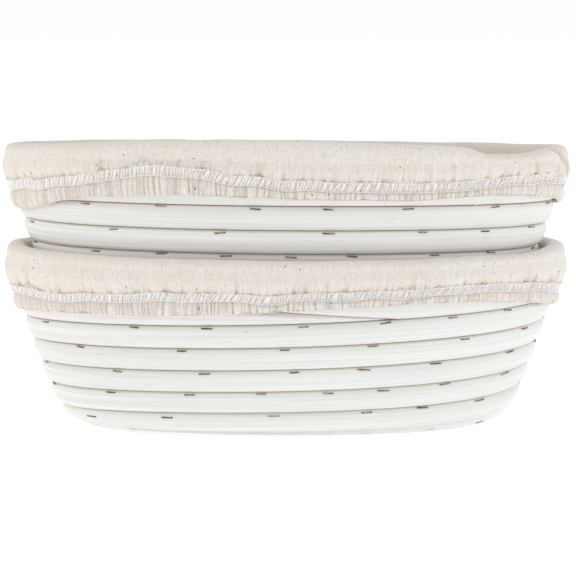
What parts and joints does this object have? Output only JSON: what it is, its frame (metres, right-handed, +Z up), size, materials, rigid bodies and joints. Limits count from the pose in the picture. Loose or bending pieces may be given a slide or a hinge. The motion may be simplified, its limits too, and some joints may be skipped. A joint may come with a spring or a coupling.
{
  "type": "banneton basket",
  "caption": "Nested oval bread-proofing baskets of coiled, stapled cane, each with a removable cotton liner folded over the rim and gripped by an elastic hem.",
  "frame": {"origin": "on the surface the lower basket stands on, under the middle of the pair", "axes": "+X along the ovals, +Y away from the side where the lower basket's coil climbs, +Z up"},
  "size_m": [0.252, 0.1588, 0.1221],
  "materials": {
    "rattan": "bleached, satin, fine lengthwise grain",
    "cotton": "unbleached plain weave with seed specks",
    "thread": "white overlock thread",
    "elastic": "knitted elastic",
    "staple_steel": "darkened steel wire"
  },
  "bodies": {
    "lower_basket": {"lower_base_coil": "rattan", "lower_wall_cane_1": "rattan", "lower_wall_cane_2": "rattan", "lower_wall_cane_3": "rattan", "lower_staple_01": "staple_steel", "lower_staple_02": "staple_steel", "lower_staple_03": "staple_steel", "lower_staple_04": "staple_steel", "lower_staple_05": "staple_steel", "lower_staple_06": "staple_steel", "lower_staple_07": "staple_steel", "lower_staple_08": "staple_steel", "lower_staple_09": "staple_steel"},
    "lower_liner": {"lower_liner_cloth": "cotton", "lower_elastic_band": "elastic", "lower_overlock_thread": "thread"},
    "upper_basket": {"upper_base_coil": "rattan", "upper_wall_cane_1": "rattan", "upper_wall_cane_2": "rattan", "upper_wall_cane_3": "rattan", "upper_staple_01": "staple_steel", "upper_staple_02": "staple_steel", "upper_staple_03": "staple_steel", "upper_staple_04": "staple_steel", "upper_staple_05": "staple_steel", "upper_staple_06": "staple_steel", "upper_staple_07": "staple_steel", "upper_staple_08": "staple_steel", "upper_staple_09": "staple_steel"},
    "upper_liner": {"upper_liner_cloth": "cotton", "upper_elastic_band": "elastic", "upper_overlock_thread": "thread"}
  },
  "joints": [
    {"name": "lower_liner_lift", "type": "slide", "parent": "lower_basket", "child": "lower_liner", "axis": [0, 0, 1], "range_m": [0, 0.12]},
    {"name": "upper_basket_lift", "type": "slide", "parent": "lower_liner", "child": "upper_basket", "axis": [0, 0, 1], "range_m": [0, 0.12]},
    {"name": "upper_liner_lift", "type": "slide", "parent": "upper_basket", "child": "upper_liner", "axis": [0, 0, 1], "range_m": [0, 0.12]}
  ]
}
